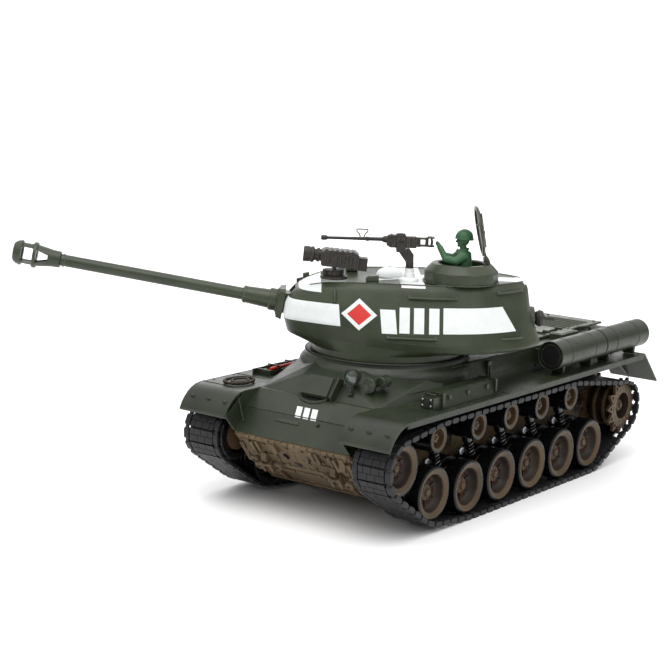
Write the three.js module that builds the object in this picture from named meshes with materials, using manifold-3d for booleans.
// Radio controlled toy tank, 1:20 scale, as an assembly of separate pieces.
// Millimetres, +X forward, +Y left, +Z up. Hull dimensions are measured from the turret axis,
// which stands at x = 0, y = 0, and from a level just below the tracks, until the finished
// tank is centred over the origin and set on the ground.
import * as THREE from 'three';
import { ConvexGeometry } from 'three/addons/geometries/ConvexGeometry.js';
import * as BufferGeometryUtils from 'three/addons/utils/BufferGeometryUtils.js';
import Module from 'manifold-3d';

const wasm = await Module();
wasm.setup();

// ---- driving dimensions -------------------------------------------------------------------
const GAP = 0.3;                    // play between neighbouring pieces
const HULL_HALF = 45.1;             // half width of the hull between the tracks
const HULL_SPLIT = 49.5;            // height of the joint between lower and upper hull
const WALL = 2.4;                   // moulded wall thickness
const BELLY = 13;                   // ground clearance
const ROOF = 91.5;                  // hull roof
const FENDER_TOP = 74.2;
const FENDER_THICK = 1.3;
const FENDER_EDGE = 81.7;
const SPONSON_HALF = 57.5;          // half width of the superstructure at the fenders
const DRUM_Z = 88;                  // axis height of the fuel drums
const RING_R = 53;                  // turret ring collar on the hull
const RING_HOLE = 43;
const RING_TOP = 95;

const WHEEL_Y = 63.5;               // middle of the wheels, rollers and sprockets
const TRACK_Y = 66.5;               // middle of each track belt
const TRACK_HALF = 14;
const TRACK_THICK = 2.4;
const LINKS = 78;
const WHEEL_R = 17.3;
const WHEEL_HALF = 13;
const WHEEL_Z = 18.9;
const WHEEL_PITCH = 38.6;
const WHEEL_2_X = 13.6;
const WHEEL_1 = [53.3, 22.5];
const ROLLER_R = 9;
const ROLLER_HALF = 12.6;
const ROLLER_Z = 56.7;
const ROLLER_X = [50, 4.3, -34.3, -73.3, -111.9];
const IDLER = [88.3, 44.3];
const IDLER_R = 16.5;
const SPROCKET = [-187.2, 38.4];
const SPROCKET_TIP_R = 20.7;
const BELT_ON_SPROCKET = 16;        // radius that the belt runs on between the teeth
const TEETH = 13;
const AXLE_R = 1.9;
const BORE_R = 2.3;

const TURRET_YAW = -52;             // turret turned to the right of dead ahead, degrees
const GUN_RAISE = 9;                // gun above the horizon, degrees
const TRUNNION = [48, 120.9];       // x and z of the elevation axis in the turret
const NECK_R = 50;
const TURRET_FLOOR = 99.3;
const TURRET_ROOF = 143;
const CUPOLA = [-44.5, 17];
const CUPOLA_HOLE = 14.7;
const HATCH_HINGE = [-59.8, 158.4];
const HATCH_OPEN = 79;
const MG_POST = [-11.2, 19];
const MG_PIVOT = [-5, 166];
const LIGHT = [36.6, 20];
const LIGHT_PIVOT_Z = 150.8;
const LIGHT_TILT = 4.3;

const wheelPlaces = [WHEEL_1];
for (let i = 0; i < 5; i++) {
  wheelPlaces.push([WHEEL_2_X - i * WHEEL_PITCH, WHEEL_Z]);
}

// ---- colours ------------------------------------------------------------------------------
const material = (color, roughness, metalness = 0) =>
  () => new THREE.MeshStandardMaterial({ color, roughness, metalness });
const green = material(0x3d4738, 0.45);
const brown = material(0x6f5c42, 0.6);
const trackBlack = material(0x1d1d1f, 0.65);
const black = material(0x26221f, 0.55);
const figureGreen = material(0x2f5135, 0.6);
const board = material(0x1f6b3a, 0.5);
const steel = material(0x9a9c9e, 0.35, 0.8);

// ---- solid helpers ------------------------------------------------------------------------
// Welds a closed geometry and turns its faces outward.
function weld(geometry) {
  const bare = geometry.index ? geometry.toNonIndexed() : geometry.clone();
  bare.deleteAttribute('normal');
  bare.deleteAttribute('uv');
  const merged = BufferGeometryUtils.mergeVertices(bare, 1e-4);
  const p = merged.attributes.position;
  const index = [];
  let volume = 0;
  const [a, b, c] = [new THREE.Vector3(), new THREE.Vector3(), new THREE.Vector3()];
  for (let i = 0; i < merged.index.count; i += 3) {
    const t = [0, 1, 2].map((k) => merged.index.getX(i + k));
    if (t[0] === t[1] || t[1] === t[2] || t[0] === t[2]) continue;
    a.fromBufferAttribute(p, t[0]);
    b.fromBufferAttribute(p, t[1]);
    c.fromBufferAttribute(p, t[2]);
    volume += a.dot(b.clone().cross(c));
    index.push(...t);
  }
  if (volume < 0) index.reverse();
  merged.setIndex(index);
  return merged;
}

function toManifold(geometry) {
  const g = weld(geometry);
  return new wasm.Manifold(new wasm.Mesh({
    numProp: 3,
    vertProperties: new Float32Array(g.attributes.position.array),
    triVerts: new Uint32Array(g.index.array),
  }));
}

function fromManifold(solid) {
  const mesh = solid.getMesh();
  const g = new THREE.BufferGeometry();
  g.setAttribute('position', new THREE.BufferAttribute(new Float32Array(mesh.vertProperties), 3));
  g.setIndex(Array.from(mesh.triVerts));
  return g;
}

// Joins a list of geometries, then cuts a second list out of the result.
function combine(parts, cuts = []) {
  let solid = toManifold(parts[0]);
  for (const part of parts.slice(1)) solid = solid.add(toManifold(part));
  for (const cut of cuts) solid = solid.subtract(toManifold(cut));
  return fromManifold(solid);
}

function box(x0, x1, y0, y1, z0, z1) {
  const g = new THREE.BoxGeometry(x1 - x0, y1 - y0, z1 - z0);
  return g.translate((x0 + x1) / 2, (y0 + y1) / 2, (z0 + z1) / 2);
}

// A turned shape about the Y axis. The profile lists [radius, y] and closes on itself.
function turned(profile, segments) {
  const points = profile.map(([r, y]) => new THREE.Vector2(r, y));
  if (profile[0][0] > 0) points.push(points[0].clone());
  return weld(new THREE.LatheGeometry(points, segments));
}

const upright = (geometry) => geometry.rotateX(Math.PI / 2);
const alongX = (geometry) => geometry.rotateZ(-Math.PI / 2);

// A round bar between two points.
function bar(from, to, radius, segments = 8) {
  const a = new THREE.Vector3(...from);
  const b = new THREE.Vector3(...to);
  const g = new THREE.CylinderGeometry(radius, radius, a.distanceTo(b), segments);
  const turn = new THREE.Quaternion().setFromUnitVectors(
    new THREE.Vector3(0, 1, 0), b.clone().sub(a).normalize());
  g.applyQuaternion(turn);
  return g.translate((a.x + b.x) / 2, (a.y + b.y) / 2, (a.z + b.z) / 2);
}

// A flat outline in X and Z, extruded from y0 to y1.
function slab(outline, y0, y1) {
  const shape = new THREE.Shape(outline.map(([x, z]) => new THREE.Vector2(x, z)));
  const g = new THREE.ExtrudeGeometry(shape, { depth: y1 - y0, bevelEnabled: false });
  return g.rotateX(Math.PI / 2).translate(0, y1, 0);
}

const mirrored = (points) => points.flatMap(([x, y, z]) => (y ? [[x, y, z], [x, -y, z]] : [[x, y, z]]));
const convex = (points) => new ConvexGeometry(mirrored(points).map((p) => new THREE.Vector3(...p)));

// Joins rings of equal length into a closed skin, each end closed by a fan.
function skin(rings) {
  const count = rings[0].length;
  const middle = (ring) => ring.reduce((m, p) => m.add(p), new THREE.Vector3()).divideScalar(count);
  const points = [...rings.flat(), middle(rings[0]), middle(rings.at(-1))];
  const index = [];
  const foot = count * rings.length;
  const last = count * (rings.length - 1);
  for (let i = 0; i < count; i++) {
    const j = (i + 1) % count;
    for (let k = 0; k < last; k += count) {
      index.push(k + i, k + j, k + count + j, k + i, k + count + j, k + count + i);
    }
    index.push(foot, j, i, foot + 1, last + i, last + j);
  }
  const g = new THREE.BufferGeometry().setFromPoints(points);
  g.setIndex(index);
  return g;
}

// ---- running gear -------------------------------------------------------------------------
const hubAndDish = (rim, half, dish) => [
  [BORE_R, half - 4.4], [5.5, half - 4.4], [rim - 5, half - dish], [rim - 3.8, half],
];

function roadWheel(radius) {
  return turned([
    ...hubAndDish(radius, WHEEL_HALF, 7), [radius, WHEEL_HALF], [radius, 1.6], [radius - 6, 1.6],
    [radius - 6, -3], [radius, -3], [radius, -WHEEL_HALF], [BORE_R, -WHEEL_HALF],
  ], 14);
}

function returnRoller() {
  return turned([
    [BORE_R, ROLLER_HALF - 2.5], [3.8, ROLLER_HALF - 2.5], [6.4, ROLLER_HALF - 5], [7.2, ROLLER_HALF],
    [ROLLER_R, ROLLER_HALF],
    [ROLLER_R, -ROLLER_HALF], [BORE_R, -ROLLER_HALF],
  ], 12);
}

// The two toothed rings of a sprocket, as spans along its axle.
const TOOTH_RINGS = [[10.3, 12.6], [-12.4, -10.1]];

// A toothed ring: V shaped teeth on a flat ring.
function toothRing([y0, y1]) {
  const outline = [];
  for (let i = 0; i < TEETH * 2; i++) {
    const angle = (i * Math.PI) / TEETH;
    const r = i % 2 ? SPROCKET_TIP_R - 6.2 : SPROCKET_TIP_R;
    outline.push([r * Math.cos(angle), r * Math.sin(angle)]);
  }
  const hole = turned([[0, y0 - 1], [10, y0 - 1], [10, y1 + 1], [0, y1 + 1]], 16);
  return combine([slab(outline, y0, y1)], [hole]);
}

function sprocket() {
  const drum = turned([
    [BORE_R, 9.7], [8.6, 9.7], [9.2, 12.9], [13, 12.9], [13, 6.5], [15.2, 4.5], [11, 3], [11, -8],
    [14.4, -12.8], [BORE_R, -12.8],
  ], 16);
  return combine([drum, ...TOOTH_RINGS.map(toothRing)]);
}

// The track runs round every wheel it touches: the convex outline of circles a little
// larger than the wheels. The sprocket's teeth stand up into slots in the belt.
function trackPath(clearance) {
  const circles = [
    [...IDLER, IDLER_R], [...SPROCKET, BELT_ON_SPROCKET],
    ...wheelPlaces.map(([x, z]) => [x, z, WHEEL_R]),
    ...ROLLER_X.map((x) => [x, ROLLER_Z, ROLLER_R]),
  ];
  const points = [];
  for (const [x, z, r] of circles) {
    for (let i = 0; i < 48; i++) {
      const a = (i * Math.PI) / 24;
      points.push([x + (r + clearance) * Math.cos(a), z + (r + clearance) * Math.sin(a)]);
    }
  }
  points.sort((p, q) => p[0] - q[0] || p[1] - q[1]);
  const cross = (o, a, b) => (a[0] - o[0]) * (b[1] - o[1]) - (a[1] - o[1]) * (b[0] - o[0]);
  const half = (list) => {
    const out = [];
    for (const p of list) {
      while (out.length > 1 && cross(out.at(-2), out.at(-1), p) <= 1e-9) out.pop();
      out.push(p);
    }
    return out.slice(0, -1);
  };
  return [...half(points), ...half(points.reverse())];
}

// Points spaced evenly along a closed outline, with the outward normal at each.
function evenly(outline, count) {
  const loop = [...outline, outline[0]].map(([x, z]) => new THREE.Vector3(x, z, 0));
  const curve = new THREE.CurvePath();
  for (let i = 1; i < loop.length; i++) curve.add(new THREE.LineCurve3(loop[i - 1], loop[i]));
  const out = [];
  for (let i = 0; i < count; i++) {
    const p = curve.getPointAt(i / count);
    const t = curve.getTangentAt(i / count);
    out.push([p.x, p.y, t.y, -t.x]);
  }
  return out;
}

function track(side) {
  const inner = trackPath(GAP);
  const outer = evenly(inner, LINKS * 3).map(([x, z, nx, nz], i) => {
    const rise = i % 3 ? TRACK_THICK : TRACK_THICK - 1;
    return [x + nx * rise, z + nz * rise];
  });
  const slots = TOOTH_RINGS.map(([y0, y1]) => {
    const [from, to] = [y0 + WHEEL_Y - TRACK_Y - GAP, y1 + WHEEL_Y - TRACK_Y + GAP];
    const r = SPROCKET_TIP_R + GAP;
    return turned([[0, from * side], [r, from * side], [r, to * side], [0, to * side]], 40)
      .translate(SPROCKET[0], 0, SPROCKET[1]);
  });
  const hollow = slab(inner, -TRACK_HALF - 1, TRACK_HALF + 1);
  return combine([slab(outer, -TRACK_HALF, TRACK_HALF)], [hollow, ...slots]);
}

// ---- hull ---------------------------------------------------------------------------------
const bothSides = (make) => [1, -1].map(make);

// Fixed stub axles that carry the wheels, from the hull wall outward on both sides.
function axles(places, reach) {
  return places.flatMap(([x, z]) => bothSides((side) =>
    bar([x, side * (HULL_HALF - 1), z], [x, side * reach, z], AXLE_R)));
}

function lowerHull() {
  const outside = [[60, BELLY], [84, 30], [99.2, HULL_SPLIT - GAP], [-206, HULL_SPLIT - GAP],
    [-206, 32], [-192, 18], [-182, BELLY]];
  const inside = [[58.6, BELLY + WALL], [81.5, 31.2], [94.6, HULL_SPLIT + 1], [-206 + WALL, HULL_SPLIT + 1],
    [-206 + WALL, 33.2], [-191, 20], [-181, BELLY + WALL]];
  const hooks = bothSides((side) => slab([[77, 24.5], [85, 27], [92, 32.5], [92, 37], [86, 35]],
    side * 27 - 2, side * 27 + 2));
  const bumps = bothSides((side) => slab([[84, 34], [94, 36.5], [95, 41.5], [90, 42]],
    side * 36 - 2.5, side * 36 + 2.5));
  return combine([
    combine([slab(outside, -HULL_HALF, HULL_HALF)], [slab(inside, -HULL_HALF + WALL, HULL_HALF - WALL)]),
    ...hooks, ...bumps, ...axles([...wheelPlaces, IDLER, SPROCKET], WHEEL_Y + 8),
  ], [box(-70, 20, -22, 22, BELLY - 1, BELLY + WALL + 1),
    box(-116, -104, -4, 4, BELLY - 1, BELLY + WALL + 1)]);
}

// Fender strip: flat along the side, folded down in a lip in front and a flap behind.
function fender(side) {
  const t = FENDER_THICK;
  const strip = [[110, 60], [106, 66.5], [99.5, 71.8], [91, FENDER_TOP], [-207, FENDER_TOP], [-228.5, 51.5],
    [-227.4, 50.8], [-206.5, FENDER_TOP - t], [90.6, FENDER_TOP - t], [98.8, 70.7], [105.1, 65.6],
    [108.8, 59.4]];
  const y = [side * (HULL_HALF - 1), side * FENDER_EDGE].sort((a, b) => a - b);
  const skirt = [side * (FENDER_EDGE - 1.2), side * FENDER_EDGE].sort((a, b) => a - b);
  return combine([slab(strip, ...y), box(-206, 88, ...skirt, FENDER_TOP - 3, FENDER_TOP - 0.4)]);
}

// Corners of the superstructure above the fenders; each stands on both sides.
const SUPERSTRUCTURE = [
  [75, HULL_HALF, 73.1], [64, 20, 84], [50, 18, ROOF], [35, 34, 90.5], [18, 45, 88.5], [5, 53, ROOF],
  [28, SPONSON_HALF, 73.1], [-100, 55.5, ROOF], [-207, 50, 90], [-207, SPONSON_HALF, 73.1],
];

function upperHull() {
  const nose = (inset, foot, top) => convex([
    [99.4 - inset * 1.5, HULL_HALF - inset, foot], [88 - inset * 1.5, HULL_HALF - inset, 64],
    [76 - inset * 1.5 - (top - 74), HULL_HALF - inset, top],
    [-206 + inset, HULL_HALF - inset, foot], [-206 + inset, HULL_HALF - inset, top],
  ]);
  const cavity = convex(SUPERSTRUCTURE.map(([x, y, z]) =>
    [x < 0 ? x + WALL : x - WALL, y - WALL, z > 80 ? z - WALL : z + WALL]));
  const collar = upright(turned([[0, 80], [57.5, 80], [57.2, 86], [55, 90.5], [RING_R, 92.5],
    [RING_R, RING_TOP], [0, RING_TOP]], 32));
  const ringHole = upright(turned([[0, 76], [RING_HOLE, 76], [RING_HOLE, 100], [0, 100]], 28));
  const gussets = bothSides((side) => slab([[109, 60.4], [91, 73.6], [72, 73.6], [99.4, HULL_SPLIT]],
    side > 0 ? HULL_HALF - 1.3 : -HULL_HALF, side > 0 ? HULL_HALF : 1.3 - HULL_HALF));
  return combine([
    combine([nose(0, HULL_SPLIT, 74), convex(SUPERSTRUCTURE), collar],
      [nose(WALL, HULL_SPLIT - 1, 79), cavity, ringHole]),
    fender(1), fender(-1), ...gussets, ...axles(ROLLER_X.map((x) => [x, ROLLER_Z]), WHEEL_Y + 9),
  ]);
}

// Engine deck: a raised plate with two louvred grilles, two hatches and grab bars.
function engineDeck() {
  const base = ROOF + GAP;
  const louvres = [];
  for (let i = 0; i < 7; i++) {
    const x = -158 - i * 6;
    louvres.push(...bothSides((side) => slab([[x, base + 1], [x + 3.4, base + 2.6], [x + 4.4, base + 1]],
      side * 25 - 16, side * 25 + 16)));
  }
  const hatches = bothSides((side) => box(-150, -128, side * 30 - 11, side * 30 + 11, base + 1, base + 3));
  const fanCap = upright(turned([[0, base + 1], [14, base + 1], [13, base + 3.6], [0, base + 3.6]], 24));
  const lid = box(-205, -70, -46, 46, base, base + 1.6);
  return combine([lid, ...louvres, ...hatches, fanCap.translate(-100, 0, 0)]);
}

// External fuel drum lying along X on two feet.
function fuelDrum(length) {
  const h = length / 2;
  const foot = FENDER_TOP + GAP - DRUM_Z;
  const drum = alongX(turned([[0, -h], [9.2, -h], [10, -h + 1], [10, h - 1], [9.2, h], [0, h]], 20));
  const feet = bothSides((side) => box(side * (h - 12) - 1.2, side * (h - 12) + 1.2, -4, 4, foot, -8));
  return combine([drum, ...feet]);
}

// Long box on the left fender with a clamp at its front end; its outer wall leans inward.
function stowageBox() {
  const base = FENDER_TOP + GAP;
  const body = new ConvexGeometry([-14.7, 46].flatMap((x) => [
    new THREE.Vector3(x, 62.5, base), new THREE.Vector3(x, 75.2, base),
    new THREE.Vector3(x, 72.6, base + 9), new THREE.Vector3(x, 62.5, base + 9),
  ]));
  const step = box(45, 54.6, 64.5, 74, base, base + 7.4);
  const frontStrap = box(44.4, 46.6, 62, 75.6, base, base + 9.6);
  const rearStrap = box(-15.4, -13.6, 62, 75.6, base, base + 9.6);
  return combine([body, step, frontStrap, rearStrap]);
}

function headlight() {
  const lamp = alongX(turned([[0, 0], [3.2, 0], [5, 4.5], [5.4, 8], [4.6, 8], [4.2, 7], [0, 7]], 14));
  return combine([lamp.translate(62, 20, 89.4), bar([66, 20, 83.6], [66, 20, 87], 1.2)]);
}

function horn() {
  const bell = alongX(turned([[0, 0], [2.2, 0], [2.2, 4], [4.7, 6], [4.7, 8], [0, 8]], 14));
  return combine([bell.translate(59.5, 32, 85.6), bar([62.5, 32, 83.1], [62.5, 32, 84.2], 1.1)]);
}

function driverVisor() {
  return convex([[76.4, 11, 74.6], [78.2, 10, 76.8], [69.4, 9, 87], [66.4, 10, 83]]);
}

// A rope lying in a figure of eight on the right fender.
function towCable() {
  const z = FENDER_TOP + GAP + 1.1;
  const points = [];
  for (let i = 0; i < 12; i++) {
    const a = (i * Math.PI) / 6;
    points.push(new THREE.Vector3(76.5 + 11 * Math.cos(a), -61 + 8 * Math.sin(a), z));
  }
  const path = new THREE.CatmullRomCurve3(points, true);
  return new THREE.TubeGeometry(path, 28, 1.1, 6, true);
}

// ---- inside the hull ----------------------------------------------------------------------
const FLOOR = BELLY + WALL + GAP;

function batteryPack() {
  const cell = (y) => bar([-62, y, FLOOR + 8], [12, y, FLOOR + 8], 7.4, 16);
  return combine([cell(-14), cell(0), cell(14), box(-66, -60, -21, 21, FLOOR, FLOOR + 16),
    box(10, 16, -21, 21, FLOOR, FLOOR + 16), box(-61, 11, -14, 14, FLOOR, FLOOR + 8)]);
}

function controlBoard() {
  const z = FLOOR + 16.3;
  return combine([box(-64, 14, -24, 24, z + 3, z + 4.6), box(-64, -61, -20, 20, z, z + 3.5),
    box(11, 14, -20, 20, z, z + 3.5), box(-40, -22, -9, 9, z + 4, z + 7), box(-10, 4, 4, 18, z + 4, z + 12)]);
}

function gearbox(side) {
  return combine([box(-198, -166, side * 24 - 16, side * 24 + 16, 30, 48),
    bar([-166.5, side * 24, 34], [-134, side * 24, 34], 8, 16),
    box(-152, -140, side * 24 - 6, side * 24 + 6, FLOOR, 30)]);
}

function turretMotor() {
  return combine([upright(turned([[0, 62], [8, 62], [8, 84], [0, 84]], 16)).translate(-62, 0, 0),
    box(-72, -52, -10, 10, 83, ROOF - WALL - GAP)]);
}

// ---- turret -------------------------------------------------------------------------------
// Half outlines of the casting, front centre to rear centre: [x, half width, height].
const NOSE_TO_TAIL = {
  chin: [[65, 0, 106.8], [63.5, 17, 106.8], [47, 30, 106.5], [28, 41, 105.5], [4, 49.3, 103.6],
    [-25, 51.5, 102.8], [-53, 47, 101.6], [-76, 33, 101], [-89, 15, 100.8], [-93, 0, 100.7]],
  belt: [[68, 0, 117.6], [66.4, 20, 117.8], [50, 33, 118], [30, 43, 116], [5, 50.5, 109.8],
    [-25, 53, 107.8], [-55, 48.5, 105], [-80, 35, 103.4], [-95, 17, 102.9], [-99.5, 0, 102.7]],
  wall: [[66.6, 0, 127.4], [65, 20.3, 127.4], [49.5, 32, 128.4], [29.5, 40.5, 127.8], [4.6, 45.5, 124.6],
    [-25, 47.5, 123.5], [-54, 44, 122.5], [-77, 31, 121.6], [-89.5, 15, 121.6], [-91.8, 0, 122]],
  shoulder: [[61.4, 0, 134.4], [58.6, 18.6, 135], [45.4, 28.6, 138], [27, 35.5, 139.3], [4, 38.5, 139.5],
    [-25, 40.5, 139.5], [-52, 38.5, 139.3], [-72, 27, 139], [-86, 13, 138.8], [-89.5, 0, 138.6]],
  roof: [[55.5, 0, 137.3], [53.2, 15.8, 138], [41.5, 25, 141], [25, 32.5, 142.6], [3, 35.5, 143],
    [-25, 38, 143], [-50, 36, 143], [-69, 25, 143], [-83, 11.5, 142.9], [-86.5, 0, 142.8]],
};
const STEPS = 18;

// A smooth closed ring through one half outline and its mirror image.
function ring(half, inset = 0, rise = 0) {
  const centre = new THREE.Vector3(-15, 0, 0);
  const path = new THREE.CatmullRomCurve3(half.map(([x, y, z]) => new THREE.Vector3(x, y, z)));
  const left = [];
  for (let i = 0; i <= STEPS; i++) {
    const p = path.getPoint(i / STEPS);
    const out = new THREE.Vector3(p.x - centre.x, p.y, 0).normalize();
    left.push(new THREE.Vector3(p.x - out.x * inset, Math.max(p.y - out.y * inset, 0), p.z + rise));
  }
  const right = left.slice(1, -1).reverse().map((p) => new THREE.Vector3(p.x, -p.y, p.z));
  return [...left, ...right];
}

function neckRing(radius, z) {
  const count = STEPS * 2;
  return Array.from({ length: count }, (_, i) => {
    const a = (i * 2 * Math.PI) / count;
    return new THREE.Vector3(radius * Math.cos(a), radius * Math.sin(a), z);
  });
}

function turretShell() {
  const { chin, belt, wall, shoulder, roof } = NOSE_TO_TAIL;
  const casting = skin([neckRing(NECK_R, RING_TOP + GAP), neckRing(NECK_R, TURRET_FLOOR),
    ring(chin), ring(belt), ring(wall), ring(shoulder), ring(roof)]);
  const neck = NECK_R - 4;
  const hollow = skin([neckRing(neck, RING_TOP - 1), neckRing(neck, TURRET_FLOOR + 2),
    ring(chin, 4, 2.4), ring(belt, 3.4, 1.8), ring(wall, 3, 0), ring(shoulder, 3, -1.6), ring(roof, 3, -WALL)]);
  const gunPort = box(52, 80, -8, 8, TRUNNION[1] - 10.5, TRUNNION[1] + 13.5);
  const ventilator = upright(turned([[0, 142], [8.4, 142], [8.4, 144], [7, 146], [4, 147.5], [0, 148]], 16));
  const mgPost = upright(turned([[0, 142], [6, 142], [6, 144.4], [3.4, 145.2], [2.9, 151], [0, 151]], 16));
  const ballSeat = alongX(turned([[0, -94.6], [6.6, -94.6], [8, -91], [8, -87], [0, -87]], 20));
  const block = [[4, 2.6, -1.4], [4, 2.6, 2.6], [-4, 2.6, 4.6], [-4, 2.6, -1.4]];
  const periscope = (x, y) => convex(block).translate(x, y, TURRET_ROOF);
  return combine([
    combine([casting], [hollow, gunPort]),
    ventilator.translate(0, -4, 0), mgPost.translate(MG_POST[0], MG_POST[1], 0),
    ballSeat.translate(0, 0, 117.8), periscope(12.5, 29), periscope(24, -25),
  ]);
}

// Commander's cupola: a faceted drum with a cone to the rim, floored inside.
function cupola() {
  const z = TURRET_ROOF + GAP;
  const body = upright(turned([[0, z], [23.6, z], [23.6, z + 7], [18.6, z + 11.8],
    [CUPOLA_HOLE, z + 11.8], [CUPOLA_HOLE, z + 2], [0, z + 2]], 24));
  const lugs = bothSides((side) => slab([[-18, z + 11], [-14.9, z + 11], [-13.7, z + 14.4], [-14.3, z + 16.4],
    [-16.3, z + 16.4], [-17.4, z + 14.4]], side * 4.2 - 0.9, side * 4.2 + 0.9));
  const facets = [];
  for (let i = 0; i < 8; i++) {
    const flat = box(23, 26, -6.4, 6.4, z - 1, z + 6);
    facets.push(flat.rotateZ(((i + 0.5) * Math.PI) / 4));
  }
  return combine([body, ...lugs], facets).translate(CUPOLA[0], CUPOLA[1], 0);
}

// Round hatch lid, modelled lying shut with its hinge on the Y axis.
function hatch() {
  const lid = upright(turned([[0, -1], [14, -1], [14, -2.2], [16, -2.2], [16, -1], [14.8, 0], [0, 0.6]], 24));
  return combine([lid.translate(18, 0, 0), bar([0, -3, 0], [0, 3, 0], 1.4, 14),
    box(-0.6, 3.4, -2.4, 2.4, -0.9, 0.5), box(8, 28, -1, 1, 0, 1.6)]);
}

// Half figure of the commander: torso, head with a round helmet, both arms reaching ahead.
function crewFigure() {
  const z = TURRET_ROOF + GAP + 2 + GAP;
  const ball = (x, y, h, sx, sy, sz) =>
    new THREE.SphereGeometry(1, 8, 6).scale(sx, sy, sz).translate(x, y, h);
  const torso = skin([[0, 7, 8.6], [6, 6.4, 8.8], [12, 5.6, 8.6], [16.6, 3.4, 5]].map(([h, depth, width]) =>
    Array.from({ length: 12 }, (_, i) => {
      const a = (i * Math.PI) / 6;
      return new THREE.Vector3(depth * Math.cos(a), width * Math.sin(a), h);
    }))).translate(-0.6, 0, z);
  const arms = bothSides((side) => combine([
    ball(0, side * 7.6, z + 12.6, 3.2, 2.8, 3.2),
    bar([0, side * 8, z + 12.6], [11.4, side * 7.2, z + 12.2], 2.1),
    bar([11.2, side * 7.2, z + 12.2], [15.4, side * 3, z + 21], 1.9),
    ball(15.7, side * 2.6, z + 21.9, 1.6, 1.6, 1.9),
    ball(11.4, side * 7.2, z + 12.3, 2.3, 2.2, 2.2),
  ]));
  return combine([torso, bar([-0.6, 0, z + 14], [-0.4, 0, z + 20], 2.4), ball(0.2, 0, z + 23, 3.9, 3.4, 4.6),
    ball(-1, 0, z + 25.2, 5.4, 5, 5.4), ...arms]).translate(CUPOLA[0], CUPOLA[1], 0);
}

function rearMachineGun() {
  const profile = [[0, 0], [2.6, 0], [4.6, 1.2], [5.6, 3.4], [4.8, 5.6], [1.3, 7], [1.1, 13.4], [0, 13.4]];
  const gun = turned(profile, 16);
  return gun.rotateZ(Math.PI / 2).translate(-94.6 - GAP, 0, 117.8);
}

function elevationMotor() {
  return combine([bar([18, 14, 112], [18, 34, 112], 6.5, 16), box(14, 36, 12, 15, 101.9, 122)]);
}

// ---- main gun, modelled level with the trunnion at the origin -----------------------------
function mantlet() {
  const plate = convex([[20.4, 9, 9.6], [20.4, 10.6, 7.6], [20.4, 10.6, -8.6], [20.4, 9, -10.6],
    [24.2, 8, 8.8], [24.2, 9.4, 6.8], [24.2, 9.4, -7.8], [24.2, 8, -9.8]]);
  const trunnions = bar([0, -13, 0], [0, 13, 0], 4, 16);
  return combine([plate, box(-8, 21, -7, 7, -6.5, 6.5), trunnions],
    [alongX(turned([[0, 16], [4.6, 16], [4.6, 30], [0, 30]], 20))]);
}

// The barrel with its collar and tapered sleeve, hollow at the muzzle end.
function gunBarrel() {
  return alongX(turned([[0, 16.4], [4.3, 16.4], [4.3, 24.5], [7.3, 24.5], [7.3, 30], [6.2, 30.4],
    [5.4, 47], [3.95, 47.4], [3.85, 166], [2.9, 166], [2.9, 174], [1.9, 174], [1.9, 140], [0, 140]], 16));
}

// Two chamber muzzle brake: a slotted cone, a flange, an open window and a front flange.
function muzzleBrake() {
  const outside = alongX(turned([[3.2, 166.3], [5.3, 166.3], [5.5, 171.5], [7, 181.4], [8.4, 182],
    [8.4, 184], [6.8, 184.6], [6.8, 190.8], [8.2, 191.6], [7.4, 195], [5.6, 197.2], [3.2, 197.2]], 16));
  const chambers = [alongX(turned([[0, 174.3], [4.9, 174.3], [5.2, 182], [0, 182]], 12)),
    alongX(turned([[0, 184], [5.2, 184], [5.2, 192], [0, 192]], 12))];
  const rearSlot = slab([[174.4, -2], [182, -4.2], [182, 4.2], [174.4, 2]], -9, 9);
  return combine([outside], [...chambers, rearSlot, box(184, 191.4, -9, 9, -4.6, 4.6)]);
}

// ---- roof fittings ------------------------------------------------------------------------
// Swivelling cradle of the anti-aircraft machine gun, modelled about its post.
function mgCradle() {
  const seat = upright(turned([[0, 151.3], [2.6, 151.3], [2.6, 155], [0, 155]], 14));
  const arm = slab([[-2.3, 153.5], [2.4, 153.5], [2.8, 155.3], [7.9, 162.2], [7.9, 163.4], [0.3, 163.4],
    [-2.3, 159.8]], -2.2, 2.2);
  const fork = bothSides((side) => slab([[3, 161.6], [9, 161.6], [8.4, 167.6], [4, 167.6]],
    side * 4 - 0.8, side * 4 + 0.8));
  return combine([seat, arm, box(2.4, 9, -4.4, 4.4, 161.8, 163.4), ...fork]);
}

// Machine gun, modelled with its pitch pivot at the origin.
function machineGun() {
  const barrel = alongX(turned([[0, 6], [2.1, 6], [2.1, 11], [1.2, 12], [0.95, 46.4], [1.5, 47],
    [1.5, 50.6], [0, 50.6]], 12)).translate(0, 0, 3);
  const handle = combine([
    bar([23.4, 0, 3.4], [22.4, 0, 6.4], 0.45, 6), bar([22.4, 0, 6.2], [21, 0, 7.4], 0.45, 6),
    bar([21, 0, 7.2], [21, 0, 9], 0.45, 6), bar([20.7, 0, 8.8], [28.3, 0, 8.8], 0.5, 6),
    bar([28, 0, 7.2], [28, 0, 9], 0.45, 6), bar([26.6, 0, 6.2], [28, 0, 7.4], 0.45, 6),
    bar([25.6, 0, 3.4], [26.6, 0, 6.4], 0.45, 6)]);
  return combine([
    box(-10, 9, -2.6, 2.6, -1.6, 5.6), barrel, handle,
    box(-17.5, -9, -1.2, 1.2, 0.4, 4), box(-3, 3, -2.2, 2.2, 5, 7),
    box(-21.4, -17, -3.2, 3.2, -1, 0), box(-21.4, -17, -3.2, 3.2, 4.4, 5.4),
    ...bothSides((side) => bar([-19.6, side * 2.5, -0.5], [-19.6, side * 2.5, 5], 0.7, 8)),
    box(-18.6, -17, -1.2, 1.2, -0.6, 5),
  ]);
}

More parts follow.
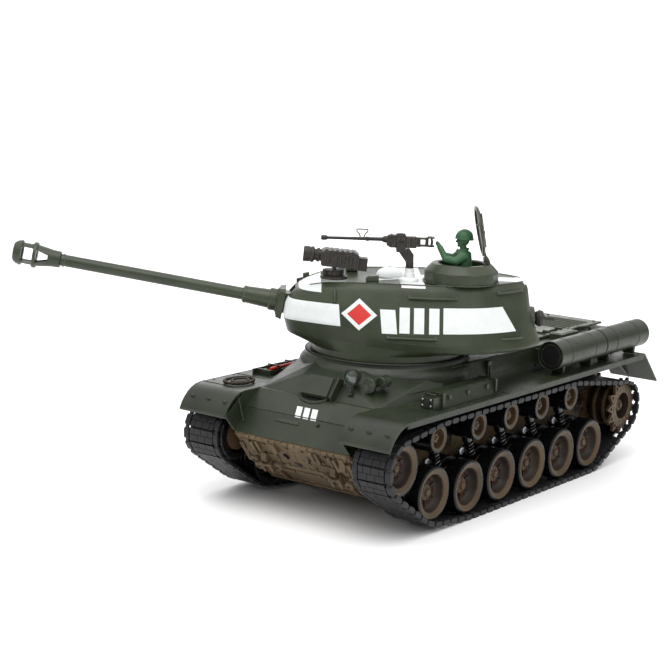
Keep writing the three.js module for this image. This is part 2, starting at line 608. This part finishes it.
// Turntable of the searchlight: a drum, a flared dish and a stay on one side.
function lightBase() {
  const z = TURRET_ROOF + GAP;
  const profile = [[0, z], [8.6, z], [8.6, z + 2.2], [6, z + 2.8], [5.6, z + 5.8], [0, z + 5.8]];
  return combine([upright(turned(profile, 20)), box(5.2, 7.6, -2, 4, z + 2, z + 5.8)]);
}

// Ribbed searchlight housing with a lamp barrel ahead and a socket behind, pivot at the origin.
function lightBody() {
  const ribs = [];
  for (let i = 0; i < 6; i++) {
    ribs.push(box(-12 + i * 3.6, -10.2 + i * 3.6, -9.4, 9.4, 1.4, 9.6));
  }
  const lamp = alongX(turned([[0, 8.4], [3.8, 8.4], [3.8, 14.5], [5, 15.5], [5, 20.4], [4, 20.4],
    [3.6, 19], [0, 19]], 16));
  return combine([box(-15, 9, -8.6, 8.6, 0.6, 10.2), ...ribs, lamp.translate(0, 0, 6.4),
    box(-20.6, -14.4, -4.4, 4.4, -0.6, 7.6), bar([0, -4, 0], [0, 4, 0], 1.3, 12)]);
}

// ---- assembly -----------------------------------------------------------------------------
const tank = new THREE.Group();
tank.name = 'rc_tank';

function place(name, geometry, look, matrix) {
  const solid = weld(geometry);
  if (matrix) solid.applyMatrix4(matrix);
  const flat = solid.toNonIndexed();
  flat.computeVertexNormals();
  const mesh = new THREE.Mesh(flat, look());
  mesh.name = name;
  tank.add(mesh);
}

const move = (x, y, z) => new THREE.Matrix4().makeTranslation(x, y, z);
const radians = THREE.MathUtils.degToRad;

for (const [side, label] of [[1, 'left'], [-1, 'right']]) {
  const turn = side > 0 ? new THREE.Matrix4() : new THREE.Matrix4().makeRotationZ(Math.PI);
  const at = (x, z) => move(x, side * WHEEL_Y, z).multiply(turn);
  wheelPlaces.forEach(([x, z], i) => {
    place(`road_wheel_${label}_${i + 1}`, roadWheel(WHEEL_R), brown, at(x, z));
  });
  ROLLER_X.forEach((x, i) => {
    place(`return_roller_${label}_${i + 1}`, returnRoller(), brown, at(x, ROLLER_Z));
  });
  place(`idler_${label}`, roadWheel(IDLER_R), brown, at(...IDLER));
  place(`drive_sprocket_${label}`, sprocket(), brown, at(...SPROCKET));
  place(`track_${label}`, track(side), trackBlack, move(0, side * TRACK_Y, 0));
  place(`gearbox_${label}`, gearbox(side), steel);
  place(`fuel_drum_${label}_front`, fuelDrum(62), green, move(-119, side * 71.5, DRUM_Z));
  place(`fuel_drum_${label}_rear`, fuelDrum(62), green, move(-181.5, side * 71.5, DRUM_Z));
}

place('lower_hull', lowerHull(), brown);
place('upper_hull', upperHull(), green);
place('engine_deck', engineDeck(), green);
place('driver_visor', driverVisor(), green);
place('headlight', headlight(), green);
place('horn', horn(), green);
place('stowage_box', stowageBox(), green);
place('tow_cable', towCable(), black);
place('battery_pack', batteryPack(), steel);
place('battery_cover', box(-70 + GAP, 20 - GAP, -22 + GAP, 22 - GAP, BELLY, BELLY + WALL - 0.2), black);
place('control_board', controlBoard(), board);
place('turret_motor', turretMotor(), steel);
place('power_switch', combine([box(-115.7, -108.3, -3.7, 3.7, BELLY - 0.6, BELLY + WALL),
  box(-114, -110, -2, 2, BELLY - 2.6, BELLY)]), black);

const turret = new THREE.Matrix4().makeRotationZ(radians(TURRET_YAW));
const onTurret = (matrix) => turret.clone().multiply(matrix);
const gun = onTurret(move(TRUNNION[0], 0, TRUNNION[1])
  .multiply(new THREE.Matrix4().makeRotationY(-radians(GUN_RAISE))));

place('turret_shell', turretShell(), green, turret);
place('cupola', cupola(), green, turret);
place('crew_figure', crewFigure(), figureGreen, turret);
place('rear_machine_gun', rearMachineGun(), black, turret);
place('elevation_motor', elevationMotor(), steel, turret);
place('cupola_hatch', hatch(), green, onTurret(move(HATCH_HINGE[0], CUPOLA[1], HATCH_HINGE[1])
  .multiply(new THREE.Matrix4().makeRotationY(-radians(HATCH_OPEN)))));
place('gun_mantlet', mantlet(), green, gun);
place('gun_barrel', gunBarrel(), green, gun);
place('muzzle_brake', muzzleBrake(), green, gun);
place('mg_cradle', mgCradle(), black, onTurret(move(MG_POST[0], MG_POST[1], 0)));
place('machine_gun', machineGun(), black, onTurret(move(MG_PIVOT[0], MG_POST[1], MG_PIVOT[1])));
place('searchlight_base', lightBase(), black, onTurret(move(LIGHT[0], LIGHT[1], 0)));
place('searchlight_body', lightBody(), black, onTurret(move(LIGHT[0], LIGHT[1], LIGHT_PIVOT_Z)
  .multiply(new THREE.Matrix4().makeRotationY(-radians(LIGHT_TILT)))));

// Stand the tank on the origin: the middle of its box over x = 0, y = 0 and its lowest point at z = 0.
const bounds = new THREE.Box3().setFromObject(tank);
const centre = bounds.getCenter(new THREE.Vector3());
tank.position.set(-centre.x, -centre.y, -bounds.min.z);

export default tank;
